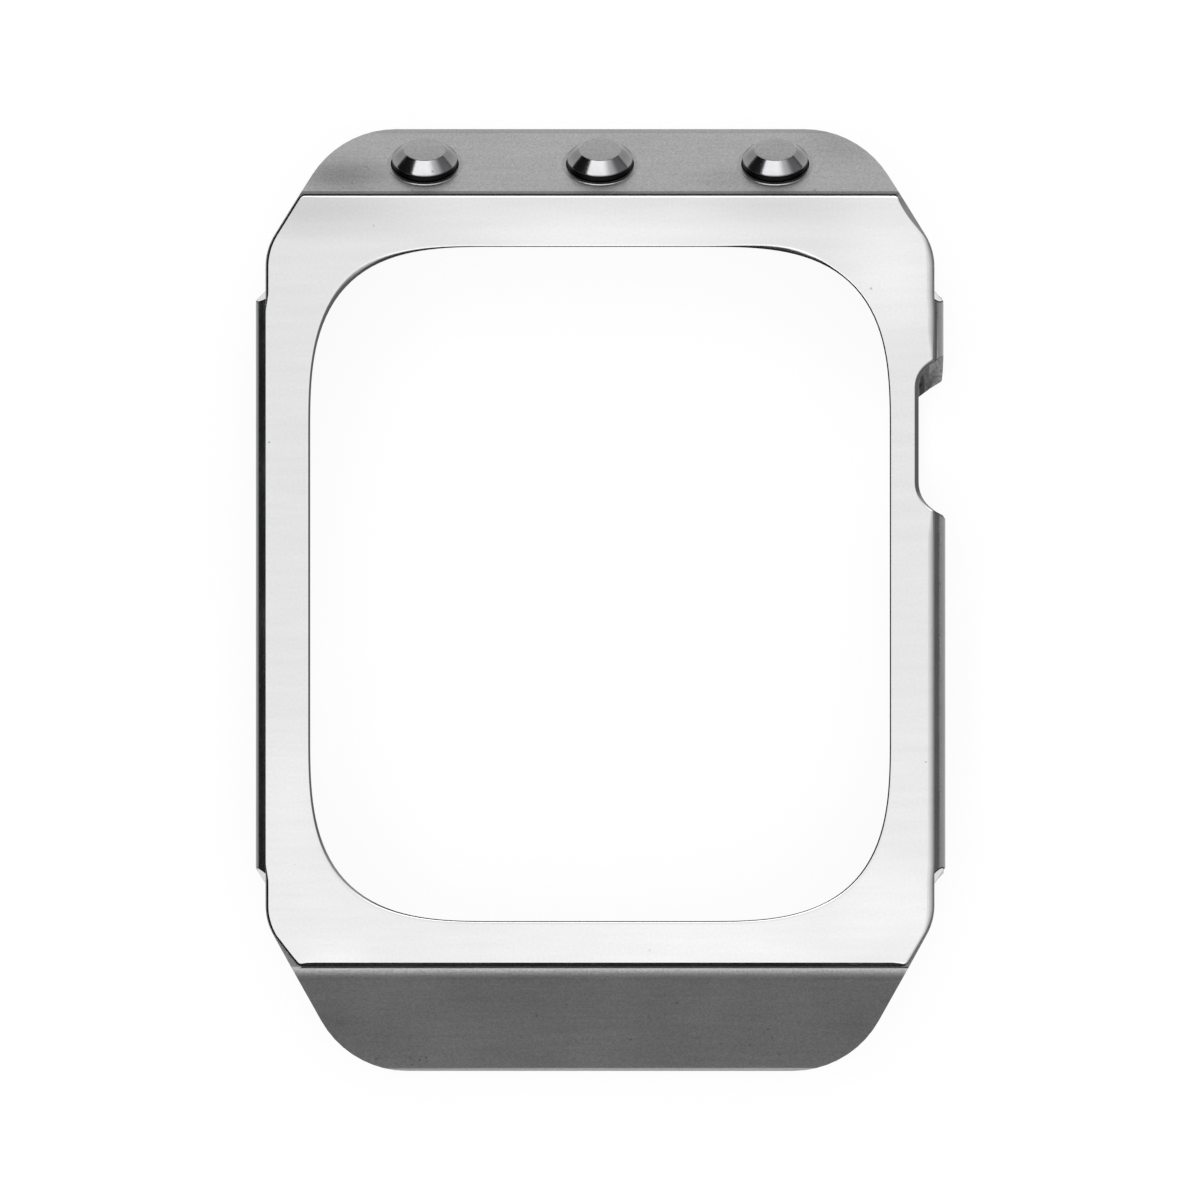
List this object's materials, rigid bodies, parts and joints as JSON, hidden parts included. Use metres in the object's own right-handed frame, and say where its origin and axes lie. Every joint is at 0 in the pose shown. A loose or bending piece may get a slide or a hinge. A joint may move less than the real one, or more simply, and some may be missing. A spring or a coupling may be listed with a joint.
{
  "type": "smartwatch case",
  "caption": "Metal case for a rectangular smartwatch, with a flat polished front bezel, sloping end hoods, side guards, a crown notch and sprung pushers on one hood.",
  "frame": {"origin": "middle of the whole case's length and width, on the plane of its back", "axes": "+Z out of the front, +Y from the watch's middle towards the end with the pushers, +X towards the crown's side"},
  "size_m": [0.0402, 0.0548, 0.012],
  "materials": {
    "polished_steel": "polished",
    "blasted_steel": "fine bead-blasted satin",
    "guard_steel": "polished",
    "tube_steel": "turned and polished",
    "screw_steel": "turned",
    "spring_steel": "drawn",
    "silicone": "matt",
    "nitrile": "satin"
  },
  "bodies": {
    "case": {"case_body": "blasted_steel", "front_bezel": "polished_steel", "back_frame": "blasted_steel", "left_side_guard": "guard_steel", "right_upper_guard": "guard_steel", "right_lower_guard": "guard_steel", "liner": "silicone", "case_screws": "screw_steel", "guard_screws": "screw_steel", "left_tube": "tube_steel", "centre_tube": "tube_steel", "right_tube": "tube_steel", "left_spring": "spring_steel", "centre_spring": "spring_steel", "right_spring": "spring_steel"},
    "left_pusher": {"left_button": "polished_steel", "left_gasket": "nitrile", "left_clip": "spring_steel"},
    "centre_pusher": {"centre_button": "polished_steel", "centre_gasket": "nitrile", "centre_clip": "spring_steel"},
    "right_pusher": {"right_button": "polished_steel", "right_gasket": "nitrile", "right_clip": "spring_steel"}
  },
  "joints": [
    {"name": "left_push", "type": "slide", "parent": "case", "child": "left_pusher", "axis": [0, -0.829, -0.5592], "range_m": [0, 0.0006], "stiffness_N_per_m": 2500, "springref_m": -0.0003, "deforming": ["left_spring"]},
    {"name": "centre_push", "type": "slide", "parent": "case", "child": "centre_pusher", "axis": [0, -0.829, -0.5592], "range_m": [0, 0.0006], "stiffness_N_per_m": 2500, "springref_m": -0.0003, "deforming": ["centre_spring"]},
    {"name": "right_push", "type": "slide", "parent": "case", "child": "right_pusher", "axis": [0, -0.829, -0.5592], "range_m": [0, 0.0006], "stiffness_N_per_m": 2500, "springref_m": -0.0003, "deforming": ["right_spring"]}
  ]
}
